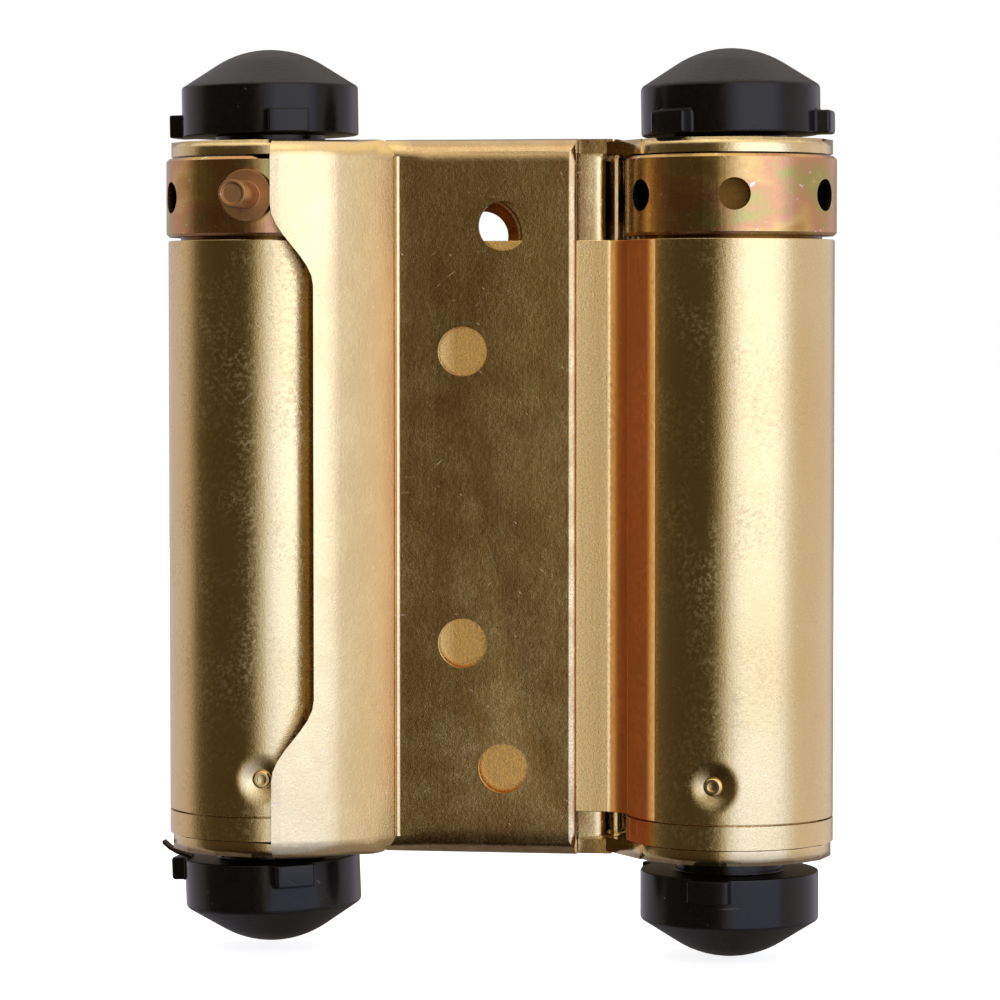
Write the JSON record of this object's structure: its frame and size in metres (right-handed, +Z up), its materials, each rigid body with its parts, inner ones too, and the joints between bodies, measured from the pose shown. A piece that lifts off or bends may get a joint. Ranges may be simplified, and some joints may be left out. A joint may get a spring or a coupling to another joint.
{
  "type": "double action spring hinge",
  "caption": "Double action spring hinge for a swing door: two folded flanges on a rolled centre web with two spring barrels, tension collars and black caps.",
  "frame": {"origin": "on the rear flange's fixing face, at mid height on the hinge's centre line between the two barrels", "axes": "+Y out of the rear flange's fixing face into the jamb, +Z up along the barrels towards the tension collars, +X along the closed leaves towards the rear flange's barrel"},
  "size_m": [0.0708, 0.0388, 0.095],
  "materials": {
    "brass_plated_sheet": "satin brass plating on rolled steel sheet",
    "brass_plated_rivet": "bright",
    "passivated_collar": "yellow passivated with a pink and green sheen",
    "passivated_pin": "yellow passivated",
    "spring_wire": "oiled",
    "bright_steel": "zinc plated",
    "black_plastic": "moulded, with a grained dome"
  },
  "bodies": {
    "rear_leaf": {"rear_flange": "brass_plated_sheet", "right_spindle": "bright_steel", "right_top_cap": "black_plastic", "right_bottom_cap": "black_plastic"},
    "web": {"centre_web": "brass_plated_sheet", "left_plug": "brass_plated_sheet", "right_plug": "brass_plated_sheet", "left_front_rivet": "brass_plated_rivet", "left_rear_rivet": "brass_plated_rivet", "right_front_rivet": "brass_plated_rivet", "right_rear_rivet": "brass_plated_rivet", "left_spring": "spring_wire", "right_spring": "spring_wire"},
    "front_leaf": {"front_flange": "brass_plated_sheet", "left_spindle": "bright_steel", "left_top_cap": "black_plastic", "left_bottom_cap": "black_plastic"},
    "left_tension": {"left_collar": "passivated_collar", "left_tension_pin": "passivated_pin"},
    "right_tension": {"right_collar": "passivated_collar", "right_tension_pin": "passivated_pin"}
  },
  "joints": [
    {"name": "web_swing", "type": "hinge", "parent": "rear_leaf", "child": "web", "pos_m": [0.0244, -0.0024, 0], "axis": [0, 0, 1], "range_deg": [0, 180], "stiffness_Nm_per_rad": 0.4, "springref_deg": -85.94, "deforming": ["right_spring"]},
    {"name": "door_swing", "type": "hinge", "parent": "web", "child": "front_leaf", "pos_m": [-0.0244, -0.0024, 0], "axis": [0, 0, -1], "range_deg": [0, 180], "stiffness_Nm_per_rad": 0.4, "springref_deg": -85.94, "deforming": ["left_spring"]},
    {"name": "left_wind", "type": "hinge", "parent": "front_leaf", "child": "left_tension", "pos_m": [-0.0244, -0.0024, 0], "axis": [0, 0, -1], "range_deg": [0, 60], "stiffness_Nm_per_rad": 0.4, "springref_deg": -85.94},
    {"name": "right_wind", "type": "hinge", "parent": "rear_leaf", "child": "right_tension", "pos_m": [0.0244, -0.0024, 0], "axis": [0, 0, -1], "range_deg": [0, 60], "stiffness_Nm_per_rad": 0.4, "springref_deg": -85.94}
  ]
}
